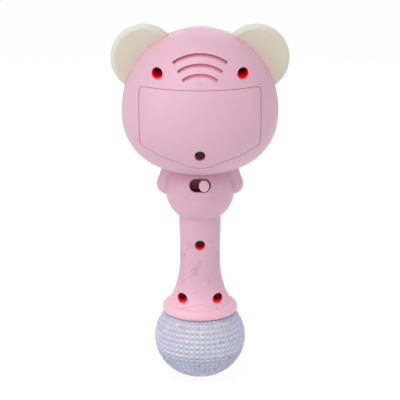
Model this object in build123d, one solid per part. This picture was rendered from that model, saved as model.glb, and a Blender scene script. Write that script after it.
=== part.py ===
from build123d import *
import os
from math import cos, pi, radians, sin, sqrt, tan

# Bear-headed toy microphone. Millimetres. +Z runs from the clear ball up to the head, the bear
# faces -Y, and the battery cover, screws and volume switch are on the +Y side.
# Heights are measured from the lowest point of the ball. At export every piece moves down by
# grip_height, so that the origin is on the handle's axis, in the middle of the grip.

# ---------------------------------------------------------------- driving dimensions
wall = 2.2                 # shell wall
joint_gap = 0.15           # gap round a piece that is dropped into place
run_gap = 0.05             # radial gap of a shank or stem in its hole

head_radius = 44.4
head_height = 161.0        # height of the head's widest circle
head_rise = 46.6           # widest circle to the crown
head_drop = 36.0           # widest circle to the chin
chin_square = 2.3          # exponent of the chin's curve, 2 is an ellipse

torso_radius = 19.8
torso_height = 114.7
arm_radius = 6.0
arm_hand = (18.9, 117.6)   # x and height of the hand's centre
arm_shoulder = (16.4, 124.8)

grip_radius = 11.6
grip_height = 76.5
grip_length = 6.0          # truly round stretch of the handle
handle_top_radius = 12.0

lip_ring = 18.6            # centre circle of the flange's rounded lip
lip_tube = 3.3
lip_height = 43.4

ball_radius = 27.1
ball_half = 24.9
ball_wall = 1.8
ball_gap = 0.5             # gap between ball and flange seat

ear_radius = 18.85
ear_thick = 9.0
ear_edge = 3.0
ear_x = head_radius - 13.1
ear_height = 190.6
ear_reach = head_radius - 14.9   # inner edge of the ear, from the head's centre

cover_half_width = 33.4
cover_top = 179.0
cover_side_bottom = 149.6
cover_corner = (29.6, 144.9)
cover_foot = (21.2, 140.9)
cover_step = (12.3, 138.4)
cover_tongue = 134.5
cover_gap = 0.25
cover_lift = 30.0
ledge = 1.5                # step that the cover rests on

cell_radius = 5.25
cell_length = 44.5
cell_nub = 1.0
cell_nub_radius = 1.9
cell_gap = 0.3
cell_pitch = 2 * cell_radius + cell_gap
cell_middle = 161.6        # height of the middle cell
bay_floor = 15.6
bay_wall = 1.6
bay_end_room = 3.35        # room at each end of a cell for its contact

well_radius = 3.05
flange_well_radius = 2.8
well_wall = 1.2
flange_well_wall = 0.9
floor_thick = 2.0
screw_radius = 1.2
screw_head_radius = 2.45
screw_head_height = 1.7
head_screw_at = (23.1, 186.2)
head_screw_length = 16.0
handle_screw_height = 83.7
flange_screw_at = (10.0, 51.8)
short_screw_length = 10.0
short_floor = 4.5          # depth coordinate of the screw seats in handle and flange

slot_centre_height = 170.0
slot_radii = (16.5, 21.4, 26.3)
slot_half_angle = 32.0
slot_width = 1.8
slot_depth = 1.6           # the slots stop short of the wall's inner face

speaker_radius = 10.0
speaker_tilt = 48.0
speaker_clear = 2.97       # front rim to the shell's inner wall, along the speaker's axis
speaker_depth = 4.2

switch_height = 120.8
switch_slot = (12.1, 7.4)
knob_size = (5.7, 6.4)
knob_rest = -2.3
knob_travel = 4.6
knob_proud = 1.4
knob_plate = (16.8, 8.4)   # hidden slide plate, which keeps the slot covered at both ends
knob_plate_thick = 0.8

button_radius = 6.5
button_travel = 1.0
button_proud = 0.9
button_skirt = 8.0
ring_clear = 0.48          # hidden ring to the belly wall
ring_thick = 1.0

board_front = 5.0
board_thick = 1.2
board_half_width = 9.0
board_bottom = 103.5
board_top = 127.5

lead_radius = 0.6

# ---------------------------------------------------------------- helpers
os.makedirs("parts", exist_ok=True)


def save(name, shape):
    export_step(Pos(0, 0, -grip_height) * shape, f"parts/{name}.step")


def group(pieces):
    return Compound(children=list(pieces))


def flat(*edges):
    """A flat outline, drawn as radius and height."""
    return make_face(Wire(list(edges)))


def spin(outline):
    return revolve(Plane.XZ * outline, Axis.Z)


def spin_half(outline, turn):
    """Half a turn: the +Y half for turn 0, the -Y half for turn 180."""
    return Rot(0, 0, turn) * revolve(Plane.XZ * outline, Axis.Z, 180)


def quarter(centre, radius, rise, square=2.0):
    """A quarter of an ellipse, or of a squarer curve, from its widest point to the axis."""
    steps = 9
    points = []
    for step in range(steps):
        angle = radians(90 * step / steps)
        x = radius * cos(angle) ** (2 / square)
        z = centre + rise * sin(angle) ** (2 / square)
        points.append((x, z))
    points.append((0, centre + rise))
    return Spline(*points, tangents=[(0, rise), (-1, 0)])


def half_oval(centre, radius, rise):
    """Half an ellipse on the axis, as a flat outline."""
    upper = quarter(centre, radius, rise)
    lower = quarter(centre, radius, -rise)
    return flat(upper, lower, Line((0, centre + rise), (0, centre - rise)))


def half_disc(centre, radius):
    arc = CenterArc((0, centre), radius, -90, 180)
    return flat(arc, Line((0, centre + radius), (0, centre - radius)))


def post(x, z, radius, y_from, y_to):
    """A round bar along Y."""
    middle = (y_from + y_to) / 2
    return Pos(x, middle, z) * Rot(90, 0, 0) * Cylinder(radius, abs(y_to - y_from))


def prism(outline, y_from, y_to):
    """A flat outline drawn in x and height, pushed along +Y."""
    placed = Plane(origin=(0, y_from, 0), x_dir=(1, 0, 0), z_dir=(0, -1, 0)) * outline
    return extrude(placed, amount=-(y_to - y_from))


def block(x, y, z):
    """A box from three (low, high) pairs."""
    size = [pair[1] - pair[0] for pair in (x, y, z)]
    centre = [(pair[1] + pair[0]) / 2 for pair in (x, y, z)]
    return Pos(*centre) * Box(*size)


def head_outline(grow):
    radius = head_radius + grow
    rise = head_rise + grow
    drop = head_drop + grow
    crown = quarter(head_height, radius, rise)
    chin = quarter(head_height, radius, -drop, chin_square)
    axis = Line((0, head_height + rise), (0, head_height - drop))
    return flat(crown, axis, chin)


def handle_points():
    """Radius and height down the flare, from the round grip to the lip."""
    return [
        (grip_radius, grip_height - grip_length / 2),
        (grip_radius + 0.25, 68.5),
        (grip_radius + 0.9, 63.0),
        (grip_radius + 2.1, 58.0),
        (grip_radius + 3.7, 52.9),
        (grip_radius + 5.7, 49.2),
        (lip_ring + 0.6, 46.3),
    ]


def handle_outline(grow):
    bottom = lip_height
    points = [(x + grow, z) for x, z in handle_points()]
    flare = Spline(*points, tangents=[(0, -1), (1, -1.1)])
    grip_top = grip_height + grip_length / 2
    top = handle_top_radius + grow
    waist = torso_height - torso_radius
    up = Spline((points[0][0], grip_top), (top, waist), tangents=[(0, 1), (0, 1)])
    return flat(
        flare,
        Line(points[0], (points[0][0], grip_top)),
        up,
        Line((top, waist), (top, torso_height)),
        Line((top, torso_height), (0, torso_height)),
        Line((0, torso_height), (0, bottom)),
        Line((0, bottom), (points[-1][0], bottom)),
        Line((points[-1][0], bottom), points[-1]),
    )


def arm_solid(side, grow):
    radius = arm_radius + grow
    hand = Vector(side * arm_hand[0], 0, arm_hand[1])
    shoulder = Vector(side * arm_shoulder[0], 0, arm_shoulder[1])
    run = shoulder - hand
    limb = Plane(origin=hand, z_dir=run) * Cylinder(
        radius, run.length, align=(Align.CENTER, Align.CENTER, Align.MIN)
    )
    return Pos(*hand) * Sphere(radius) + limb + Pos(*shoulder) * Sphere(radius)


def body_outline(grow):
    torso = half_disc(torso_height, torso_radius + grow)
    return head_outline(grow) + torso + handle_outline(grow)


def ball_outline(grow):
    return half_oval(ball_half, ball_radius + grow, ball_half + grow)


def head_depth(x, z, grow=0):
    """Depth of the head's surface at x and height z."""
    radius = head_radius + grow
    if z > head_height:
        share = sqrt(max(0, 1 - ((z - head_height) / (head_rise + grow)) ** 2))
    else:
        part = ((head_height - z) / (head_drop + grow)) ** chin_square
        share = max(0, 1 - part) ** (1 / chin_square)
    return sqrt(max(0, (radius * share) ** 2 - x * x))


def lead(points):
    """A lead of straight runs joined by arcs that touch both runs."""
    path = [Vector(*point) for point in points]
    radii = []
    for before, corner, after in zip(path, path[1:], path[2:]):
        first = corner - before
        second = after - corner
        turn = radians(first.get_angle(second))
        radii.append(0.45 * min(first.length, second.length) / tan(turn / 2))
    print("lead radii", [round(radius, 1) for radius in radii])
    line = FilletPolyline(*path, radius=radii)
    start = Plane(origin=path[0], z_dir=path[1] - path[0])
    tube = sweep(start * Circle(lead_radius), path=line)
    expected = pi * lead_radius**2 * line.length
    print("lead volume ratio", round(tube.volume / expected, 4))
    return tube


# ---------------------------------------------------------------- shells in the round
collar_radius = 15.2
neck_radius = 13.6
neck_bore = 12.0
rib_top = 47.4
collar_bottom = rib_top + 0.1
collar_top = collar_bottom + 0.8
inner_bottom = collar_top + 0.1
led_ledge = 46.2
led_window = 10.4


def ring_outline(radius, z_from, z_to):
    return Pos(radius / 2, (z_from + z_to) / 2) * Rectangle(radius, z_to - z_from)


outer_outline = body_outline(0) + Pos(lip_ring, lip_height) * Circle(lip_tube)
inner_outline = body_outline(-wall) - ring_outline(40, 0, inner_bottom)
filled_outline = outer_outline - ball_outline(ball_gap)
filled_outline -= ring_outline(neck_radius + joint_gap, lip_height - 4, rib_top)
filled_outline -= ring_outline(collar_radius + joint_gap, rib_top, inner_bottom + 0.2)

back_half = block((-80, 80), (0, 80), (-5, 230))
front_half = block((-80, 80), (-80, 0), (-5, 230))


def shell_half(turn, half):
    """One half of the body filled solid, and the cavity to be cut from it."""
    solid = spin_half(filled_outline, turn)
    hollow = spin_half(inner_outline, turn)
    for side in (-1, 1):
        solid += arm_solid(side, 0) & half
        hollow += arm_solid(side, -wall) & half
    return solid, hollow


back, back_cavity = shell_half(0, back_half)
front, front_cavity = shell_half(180, front_half)

# ---------------------------------------------------------------- ball and its trap
ball_section = ball_outline(0) - ball_outline(-ball_wall)
above = ring_outline(ball_radius + 5, ball_half, 60)
neck_section = make_face(Polyline(
    (led_window, led_ledge - 1.2),
    (neck_radius, led_ledge - 1.2),
    (neck_radius, collar_bottom),
    (collar_radius, collar_bottom),
    (collar_radius, collar_top),
    (led_window, collar_top),
    close=True,
))
cap_section = (ball_section & above) + neck_section
cap_section -= ring_outline(led_window, 30, 60)
cap_section -= ring_outline(neck_bore, led_ledge, 60)
tongue_outer = ball_radius - ball_wall - 0.1
tongue_section = make_face(Polyline(
    (tongue_outer - 0.9, ball_half - 1.2),
    (tongue_outer + 0.5, ball_half - 1.2),
    (tongue_outer + 0.5, ball_half),
    (tongue_outer, ball_half),
    (tongue_outer, ball_half + 1.5),
    (tongue_outer - 0.9, ball_half + 1.5),
    close=True,
))
bowl_section = (ball_section - above) + tongue_section
save("ball_cap", spin(cap_section))
save("ball_bowl", spin(bowl_section))

led_board_radius = neck_bore - 0.2
led_board_top = led_ledge + 1.2
led_circle = 5.0
led_radius = 1.5
led_length = 4.5
led_board = Pos(0, 0, led_ledge + 0.6) * Cylinder(led_board_radius, 1.2)
save("led_board", led_board)
leds = []
for turn in (90, 210, 330):
    x = led_circle * cos(radians(turn))
    y = led_circle * sin(radians(turn))
    barrel = Pos(x, y, led_ledge - (led_length - led_radius) / 2) * Cylinder(
        led_radius, led_length - led_radius
    )
    rim = Pos(x, y, led_ledge - 0.4) * Cylinder(led_radius + 0.3, 0.8)
    tip = Pos(x, y, led_ledge - led_length + led_radius) * Sphere(led_radius)
    leds.append(barrel + rim + tip)
save("ball_leds", group(leds))

# ---------------------------------------------------------------- shells, one at a time
# Sound slots: three blind arcs about one centre, with a thin skin left in front of the speaker.
slot_cuts = []
slot_floor = spin_half(head_outline(-slot_depth), 0)
for radius in slot_radii:
    arc = CenterArc(
        (0, slot_centre_height), radius, 90 - slot_half_angle, 2 * slot_half_angle
    )
    slot = trace(arc, slot_width)
    ends = []
    for side in (-1, 1):
        x = side * radius * sin(radians(slot_half_angle))
        z = slot_centre_height + radius * cos(radians(slot_half_angle))
        ends.append(Pos(x, z) * Circle(slot_width / 2))
    slot_cuts.append(prism(slot + ends[0] + ends[1], 12, 60) - slot_floor)


def cover_outline(grow):
    """The battery cover's outline, drawn in x and height."""
    right = cover_half_width + grow
    top = cover_top + grow
    corner = (cover_corner[0] + 0.7 * grow, cover_corner[1] - 0.7 * grow)
    foot = (cover_foot[0] + 0.4 * grow, cover_foot[1] - 0.9 * grow)
    step = (cover_step[0] + 0.2 * grow, cover_step[1] - grow)
    tongue = cover_tongue - grow
    side_bottom = cover_side_bottom
    round_corner = 3.0 + grow
    half = [
        Line((0, top), (right - round_corner, top)),
        RadiusArc((right - round_corner, top), (right, top - round_corner), round_corner),
        Line((right, top - round_corner), (right, side_bottom)),
        ThreePointArc(
            (right, side_bottom), (right - 0.9, side_bottom - 2.9 - 0.3 * grow), corner
        ),
        Line(corner, foot),
        Line(foot, step),
        ThreePointArc(step, (step[0] * 0.62, tongue + 1.3), (0, tongue)),
    ]
    other = [edge.mirror(Plane.YZ) for edge in half]
    return make_face(Wire.combine(half + other)[0])


# Ledge under the cover, battery bay, and the cover's screw post.
bay_half_width = cell_length / 2 + bay_end_room
bay_low = cell_middle - cell_pitch - cell_radius - 0.2
bay_high = cell_middle + cell_pitch + cell_radius + 0.3
bay_mouth = block((-bay_half_width, bay_half_width), (bay_floor, 60), (bay_low, bay_high))
bay_outside = block(
    (-bay_half_width - bay_wall, bay_half_width + bay_wall),
    (bay_floor - bay_wall, 60),
    (bay_low - bay_wall, bay_high + bay_wall),
)
head_inner = spin_half(head_outline(-wall), 0)
cover_seat = spin_half(head_outline(-wall - run_gap), 0)
under_ledge = spin_half(head_outline(-wall - ledge), 0)

cover_screw_height = 142.9
cover_surface = head_depth(0, cover_screw_height)
cup_depth = 5.6
cup_floor = cover_surface - cup_depth
cup_floor_thick = 1.2
cup_wall = 1.15
cup_bottom = cup_floor - cup_floor_thick
washer_thick = 0.8
post_top = cup_bottom - washer_thick - 0.5
post_radius = 2.6
cover_screw_length = 11.0

# What stays standing in the back shell's cavity.
back_cavity -= prism(cover_outline(2.0), 5, 60) - under_ledge
back_cavity -= bay_outside
back_cavity -= post(0, cover_screw_height, post_radius, bay_floor, 60)
cover_opening = prism(cover_outline(0), 5, 60) - cover_seat
cover_post_cut = post(0, cover_screw_height, well_radius + cup_wall + 0.3, post_top, 60)
cover_post_cut += post(
    0, cover_screw_height, screw_radius + run_gap, post_top - 9.5, post_top + 1
)

cup = post(0, cover_screw_height, well_radius + cup_wall, cup_bottom, 60)
rib_high = bay_high - 0.3
cover_rib = block((-16, 16), (33.0, 60), (rib_high - 1.2, rib_high))
under_cover = head_inner - cup - cover_rib
cover = spin_half(head_outline(0), 0) & prism(cover_outline(-cover_gap), 5, 60)
cover -= under_cover
cover -= post(0, cover_screw_height, well_radius, cup_floor, 60)
cover -= post(0, cover_screw_height, screw_radius + run_gap, cup_bottom - 1, cup_floor + 1)
save("battery_cover", cover)


def screw(x, z, seat, length, head_radius=screw_head_radius):
    """A pan-head screw along Y, its head resting at depth seat."""
    head = post(x, z, head_radius, seat, seat + screw_head_height)
    head = fillet(head.edges().sort_by(Axis.Y)[-1], 0.7)
    shank = post(x, z, screw_radius, seat - length, seat)
    cross = block((x - 1.4, x + 1.4), (seat + 0.8, seat + 5), (z - 0.3, z + 0.3))
    cross += block((x - 0.3, x + 0.3), (seat + 0.8, seat + 5), (z - 1.4, z + 1.4))
    return head + shank - cross


save("cover_screw", screw(0, cover_screw_height, cup_floor, cover_screw_length))
washer = post(0, cover_screw_height, 2.3, cup_bottom - washer_thick, cup_bottom)
washer -= post(0, cover_screw_height, screw_radius, cup_bottom - 2, cup_bottom + 1)
save("cover_screw_retainer", washer)

# Speaker seat, tilted to face the sound slots.
speaker_axis = Vector(0, cos(radians(speaker_tilt)), sin(radians(speaker_tilt)))
inner_share = Vector(0, speaker_axis.Y / (head_radius - wall), speaker_axis.Z / (head_rise - wall))
speaker_front = 1 / inner_share.length - speaker_clear
speaker_plane = Plane(
    origin=Vector(0, 0, head_height) + speaker_axis * speaker_front,
    x_dir=(1, 0, 0),
    z_dir=speaker_axis,
)
seat_length = 10.5
seat_wall = 1.4
seat_inner = speaker_radius + joint_gap
seat = speaker_plane * Pos(0, 0, 3) * (
    Cylinder(seat_inner + seat_wall, seat_length) - Cylinder(seat_inner, seat_length)
)
back_cavity -= seat

# Screw wells on the back, matching posts on the front.
head_seat = ear_thick / 2 + joint_gap + floor_thick
post_wall = 1.5
boss_radius = screw_radius + post_wall
wells = []
for side in (-1, 1):
    x = side * head_screw_at[0]
    wells.append((x, head_screw_at[1], well_radius, head_seat, well_wall))
short_wells = [(0, handle_screw_height, well_radius, short_floor, well_wall)]
for side in (-1, 1):
    x = side * flange_screw_at[0]
    short_wells.append((x, flange_screw_at[1], flange_well_radius, short_floor, flange_well_wall))
well_cuts = []
pilot_cuts = []
for x, z, radius, seat_depth, thick in wells + short_wells:
    under = seat_depth - floor_thick
    back_cavity -= post(x, z, radius + thick, under, 60)
    well_cuts.append(post(x, z, radius, seat_depth, 60))
    well_cuts.append(post(x, z, screw_radius + run_gap, -1, seat_depth + 1))
    if (x, z, radius, seat_depth, thick) in wells:
        boss_top = -ear_thick / 2 - joint_gap
        pilot_bottom = seat_depth - head_screw_length - 0.5
    else:
        boss_top = 1
        back_cavity -= post(x, z, boss_radius, -1, under + 1)
        pilot_bottom = seat_depth - short_screw_length - 0.5
    front_cavity -= post(x, z, boss_radius, -60, boss_top)
    pilot_cuts.append(post(x, z, screw_radius + run_gap, pilot_bottom, 1))

# Volume switch opening.
slot_outline = Pos(0, switch_height) * SlotOverall(*switch_slot)
switch_cut = prism(slot_outline, 12.5, 40)

# Ears pass through a close opening at the parting plane.
openings = []
for name, side in (("ear_right", -1), ("ear_left", 1)):
    x = side * ear_x
    opening = post(x, ear_height, ear_radius + joint_gap, -ear_thick / 2 - joint_gap,
                   ear_thick / 2 + joint_gap)
    openings.append(opening)
    ear = post(x, ear_height, ear_radius, -ear_thick / 2, ear_thick / 2)
    ear = fillet(ear.edges().filter_by(GeomType.CIRCLE), ear_edge)
    ear -= post(0, head_height, ear_reach, -20, 20)
    ear -= post(side * head_screw_at[0], head_screw_at[1], screw_radius + 0.3, -20, 20)
    save(name, ear)

# ---------------------------------------------------------------- board, switch and button
board_back = board_front + board_thick
board_outline = Pos(0, (board_bottom + board_top) / 2) * RectangleRounded(
    2 * board_half_width, board_top - board_bottom, 1.5
)
board = prism(board_outline, board_front, board_back)
board_screw_at = [(-7.0, 106.3), (7.0, 106.3)]
board_prop_at = [(-6.8, 124.2), (6.8, 124.2)]
small_shank = 0.85
board_posts = []
for x, z in board_screw_at:
    board -= post(x, z, small_shank + 0.15, -20, 20)
    board_posts.append(post(x, z, 2.2, -60, board_front))
    pilot_cuts.append(post(x, z, small_shank + 0.02, -2.5, 20))
for x, z in board_prop_at:
    board_posts.append(post(x, z, 1.6, -60, board_front))
save("main_board", board)

board_screws = []
for x, z in board_screw_at:
    cap = post(x, z, 1.6, board_back, board_back + 1.1)
    shank = post(x, z, small_shank, -2, board_back)
    cross = block((x - 0.9, x + 0.9), (board_back + 0.6, 10), (z - 0.2, z + 0.2))
    cross += block((x - 0.2, x + 0.2), (board_back + 0.6, 10), (z - 0.9, z + 0.9))
    board_screws.append(cap + shank - cross)
save("board_screws", group(board_screws))

switch_body_half = (5.6, 3.1)
switch_body_top = 10.2
frame_box = block(
    (-switch_body_half[0], switch_body_half[0]),
    (board_back, switch_body_top),
    (switch_height - switch_body_half[1], switch_height + switch_body_half[1]),
)
lever_half = 1.0
lever_room = lever_half + knob_travel / 2 + 0.3
frame_box -= block(
    (-lever_room, lever_room), (8.0, 20),
    (switch_height - lever_half - 0.15, switch_height + lever_half + 0.15),
)
save("slide_switch_body", frame_box)

plate_bottom = switch_body_top + 0.4
plate_top = plate_bottom + knob_plate_thick
lever_top = plate_top + 2.2
lever = block(
    (knob_rest - lever_half, knob_rest + lever_half), (8.1, lever_top),
    (switch_height - lever_half, switch_height + lever_half),
)
save("switch_lever", lever)

torso_surface = sqrt(torso_radius**2 - (switch_height - torso_height) ** 2)
knob_top = torso_surface + knob_proud
knob_outline = Pos(knob_rest, switch_height) * Ellipse(knob_size[0] / 2, knob_size[1] / 2)
knob = prism(knob_outline, plate_bottom + 0.1, knob_top)
knob = fillet(knob.edges().sort_by(Axis.Y)[-1], 0.8)
plate_outline = Pos(knob_rest, switch_height) * RectangleRounded(*knob_plate, 4.15)
knob += prism(plate_outline, plate_bottom, plate_top)
for rib in (-1, 0, 1):
    knob += prism(
        Pos(knob_rest + 1.25 * rib, switch_height) * SlotOverall(3.2, 0.5, rotation=90),
        knob_top - 0.4, knob_top + 0.3,
    )
knob -= block(
    (knob_rest - lever_half - 0.02, knob_rest + lever_half + 0.02),
    (0, lever_top + 0.05),
    (switch_height - lever_half - 0.02, switch_height + lever_half + 0.02),
)
save("switch_knob", knob)

chip = Pos(0, board_front, 107.8) * Rot(90, 0, 0) * Cylinder(
    3.4, 1.6, align=(Align.CENTER, Align.CENTER, Align.MIN)
)
chip = fillet(chip.edges().sort_by(Axis.Y)[0], 1.2)
save("chip_blob", chip)
small_parts = []
for x, z in ((-4.5, 109.5), (-4.5, 112.0), (4.8, 110.5)):
    small_parts.append(block((x - 1.0, x + 1.0), (board_back, board_back + 0.8), (z - 0.6, z + 0.6)))
can = Pos(2.2, board_back, 113.0) * Rot(-90, 0, 0) * Cylinder(
    2.0, 5.0, align=(Align.CENTER, Align.CENTER, Align.MIN)
)
small_parts.append(can)
save("board_components", group(small_parts))

button_height = torso_height
tact_half = 3.0
tact_front = 1.5
tact = block((-tact_half, tact_half), (tact_front, board_front),
             (button_height - tact_half, button_height + tact_half))
tact += post(0, button_height, 1.7, tact_front - 0.7, tact_front)
save("tact_switch", tact)

face = torso_radius + button_proud
ring_front = sqrt((torso_radius - wall) ** 2 - button_skirt**2) - ring_clear
ring_back = ring_front - ring_thick
button = post(0, button_height, button_radius, -face, -ring_back)
button &= Pos(0, 0, button_height) * Sphere(face)
button_ring = post(0, button_height, button_skirt, -ring_front, -ring_back)
button += button_ring
button += post(0, button_height, 2.0, -ring_back - 0.3, tact_front - 0.7 - button_travel - 0.05)
save("music_button", button)
button_cut = post(0, button_height, button_radius + joint_gap, -60, -12)
guide = post(0, button_height, 2.0 + run_gap + 1.2, -11.5, -6.5)
guide += block((-30, 30), (-11.5, -9.5), (button_height - 1.2, button_height + 1.2))
guide -= post(0, button_height, 2.0 + run_gap, -30, 0)

# ---------------------------------------------------------------- face
def radial(x, z, grow=0):
    """A plane on the head's front with its normal pointing out from the head's centre."""
    point = Vector(x, -head_depth(x, z, grow), z)
    return Plane(origin=point, z_dir=point - Vector(0, 0, head_height))


face_cuts = []
eye_radius = 4.0
eye_rise = 2.2
eye_at = (14.5, 168.0)
for name, side in (("eye_right", -1), ("eye_left", 1)):
    place = radial(side * eye_at[0], eye_at[1])
    bulge = (eye_radius**2 + eye_rise**2) / (2 * eye_rise)
    dome = Pos(0, 0, eye_rise - bulge) * Sphere(bulge)
    dome &= Pos(0, 0, 4) * Box(20, 20, 9.2)
    dome &= Cylinder(eye_radius, 20)
    stem = Pos(0, 0, -2.2) * Cylinder(1.6, 3.4)
    face_cuts.append(place * Pos(0, 0, 4.85) * Cylinder(eye_radius + 0.1, 11))
    face_cuts.append(place * Cylinder(1.7, 12))
    save(name, place * (dome + stem))

muzzle_height = 152.5
muzzle_sink = 5.7          # head's front to the muzzle's centre
muzzle_half = (14.0, 10.5)
head_front = -head_depth(0, muzzle_height)
muzzle_at = (head_front + muzzle_sink, muzzle_height)
seam_turn = 33             # keeps a turned shape's seam off the planes of its neighbours
muzzle_egg = Rot(0, 0, seam_turn) * spin(half_oval(0, muzzle_half[1], muzzle_half[0]))
muzzle_egg = Pos(0, *muzzle_at) * Rot(0, 90, 0) * muzzle_egg
muzzle = muzzle_egg - spin_half(head_outline(run_gap), 180)
muzzle &= block((-30, 30), (head_front - 16, head_front + 13.7), (130, 180))
for side in (-1, 1):
    muzzle += post(side * 6, muzzle_at[1], 1.4, muzzle_at[0] - 8, muzzle_at[0])
    face_cuts.append(post(side * 6, muzzle_at[1], 1.5, muzzle_at[0] - 22, muzzle_at[0] + 8))
nose_half = (4.4, 3.0)
nose = Rot(0, 0, seam_turn) * spin(half_oval(0, nose_half[1], nose_half[0]))
nose_at = (muzzle_at[0] - 9.2, muzzle_height + 4.7)
nose = Pos(0, *nose_at) * Rot(0, 90, 0) * nose
nose += post(0, nose_at[1], 1.2, nose_at[0] + 0.2, nose_at[0] + 5.2)
nose_bore = post(0, nose_at[1], 1.2 + run_gap, nose_at[0] - 2.8, nose_at[0] + 5.7)
muzzle -= nose_bore
face_cuts.append(nose_bore)
nose_room = Rot(0, 0, seam_turn) * spin(half_oval(0, nose_half[1] + run_gap, nose_half[0] + run_gap))
muzzle -= Pos(0, *nose_at) * Rot(0, 90, 0) * nose_room
save("muzzle", muzzle)
save("nose", nose)

# ---------------------------------------------------------------- screws that close the shells
save("head_screws", group(
    screw(side * head_screw_at[0], head_screw_at[1], head_seat, head_screw_length)
    for side in (-1, 1)
))
save("handle_screw", screw(0, handle_screw_height, short_floor, short_screw_length))
save("flange_screws", group(
    screw(side * flange_screw_at[0], flange_screw_at[1], short_floor, short_screw_length)
    for side in (-1, 1)
))

# ---------------------------------------------------------------- cells and contacts
cell_axis = bay_floor + cell_radius + run_gap
cell_names = ("battery_low", "battery_middle", "battery_high")
cell_heights = [cell_middle + cell_pitch * row for row in (-1, 0, 1)]
cell_facing = (1, -1, 1)
for name, z, facing in zip(cell_names, cell_heights, cell_facing):
    can_length = cell_length - cell_nub
    body = Pos(-facing * cell_nub / 2, cell_axis, z) * Rot(0, 90, 0) * Cylinder(cell_radius, can_length)
    body = fillet(body.edges().filter_by(GeomType.CIRCLE), 0.4)
    nub = Pos(facing * (cell_length - cell_nub) / 2, cell_axis, z) * Rot(0, 90, 0) * Cylinder(
        cell_nub_radius, cell_nub
    )
    save(name, body + nub)

strip = 0.4
plate_x = bay_half_width - strip - 0.05
plate_half = 4.4
leaf_reach = plate_x - cell_length / 2 - 0.02
tab_tip = bay_floor - bay_wall - 2.5


def contact_plate(side, z_low, z_high):
    low = min(side * plate_x, side * (plate_x + strip))
    return block((low, low + strip), (bay_floor + 0.1, bay_floor + 10), (z_low, z_high))


def leaf(side, z):
    """A bent strip that presses on one end of a cell."""
    x_plate = side * plate_x
    x_tip = side * (plate_x - leaf_reach)
    points = [
        (x_plate, cell_axis - 3.5),
        (x_tip, cell_axis - 0.6),
        (x_tip, cell_axis + 0.6),
        (x_plate, cell_axis + 3.5),
        (x_plate, cell_axis + 3.0),
        (x_tip + side * strip, cell_axis + 0.4),
        (x_tip + side * strip, cell_axis - 0.4),
        (x_plate, cell_axis - 3.0),
    ]
    outline = make_face(Polyline(*points, close=True))
    return Pos(0, 0, z - 2.2) * extrude(outline, amount=4.4)


def tab(side, z):
    low = min(side * plate_x, side * (plate_x + strip))
    return block((low, low + strip), (tab_tip, bay_floor + 0.2), (z - 1.5, z + 1.5))


low_z, middle_z, high_z = cell_heights
contacts = {
    "contact_positive": contact_plate(1, high_z - plate_half, high_z + plate_half)
    + leaf(1, high_z) + tab(1, high_z),
    "contact_negative": contact_plate(-1, low_z - plate_half, low_z + plate_half)
    + leaf(-1, low_z) + tab(-1, low_z),
    "contact_bridge_left": contact_plate(1, low_z - plate_half, middle_z + plate_half)
    + leaf(1, low_z) + leaf(1, middle_z),
    "contact_bridge_right": contact_plate(-1, middle_z - plate_half, high_z + plate_half)
    + leaf(-1, middle_z) + leaf(-1, high_z),
}
for name, shape in contacts.items():
    save(name, shape)
for side, z in ((1, high_z), (-1, low_z)):
    low = min(side * plate_x, side * (plate_x + strip))
    well_cuts.append(
        block((low - 0.1, low + strip + 0.1), (tab_tip - 2, bay_floor + 1), (z - 1.6, z + 1.6))
    )

# ---------------------------------------------------------------- speaker
frame_rim = 0.8
basket_radius = 7.0
basket = revolve(
    Plane.XZ * make_face(Polyline(
        (speaker_radius, 0), (speaker_radius, -frame_rim), (basket_radius, -speaker_depth + 1.5),
        (basket_radius, -speaker_depth + 0.8), (0, -speaker_depth + 0.8),
        (0, -speaker_depth + 1.4), (basket_radius - 0.7, -speaker_depth + 1.4),
        (speaker_radius - 1.2, 0), close=True,
    )),
    Axis.Z,
)
save("speaker_frame", speaker_plane * basket)
magnet = Pos(0, 0, -speaker_depth + 0.8 - 1.1) * Cylinder(5.5, 2.2)
magnet = fillet(magnet.edges().sort_by(Axis.Z)[0], 0.4)
save("speaker_magnet", speaker_plane * magnet)
cone = revolve(
    Plane.XZ * make_face(Polyline(
        (0, -1.2), (2.4, -1.5), (speaker_radius - 1.7, -0.35), (speaker_radius - 1.6, -0.15),
        (speaker_radius - 2.0, -0.1), (2.4, -1.1), (0, -0.8), close=True,
    )),
    Axis.Z,
)
save("speaker_cone", speaker_plane * cone)
gasket = Pos(0, 0, 0.35) * (Cylinder(speaker_radius, 0.7) - Cylinder(speaker_radius - 1.2, 2))
save("speaker_gasket", speaker_plane * gasket)

# ---------------------------------------------------------------- leads
board_middle = (board_front + board_back) / 2
for name, side in (("led_lead_black", -1), ("led_lead_red", 1)):
    save(name, lead([
        (side * 3.0, 0, led_board_top),
        (side * 3.0, 0.0, 61.0),
        (side * 6.4, 0.0, 73.0),
        (side * 6.4, 0.0, 90.0),
        (side * 3.2, board_middle, 98.5),
        (side * 3.2, board_middle, board_bottom),
    ]))
speaker_back = speaker_front - speaker_depth + 0.8
for name, side in (("speaker_lead_black", -1), ("speaker_lead_red", 1)):
    start = Vector(side * 6.3, 0, head_height) + speaker_axis * speaker_back
    turn = start - speaker_axis * 6
    save(name, lead([
        tuple(start),
        tuple(turn),
        (side * 6.0, 9.0, 179.5),
        (side * 5.0, 8.5, 160.0),
        (side * 4.2, 8.0, 141.0),
        (side * 3.4, board_middle, 133.0),
        (side * 3.4, board_middle, board_top),
    ]))
tab_x = plate_x + strip / 2
save("battery_lead_red", lead([
    (tab_x, tab_tip, high_z),
    (tab_x, 4.0, high_z),
    (17.0, 3.0, 152.0),
    (8.0, board_middle - 1, 138.0),
    (6.6, board_middle, 133.0),
    (6.6, board_middle, board_top),
]))
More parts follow.
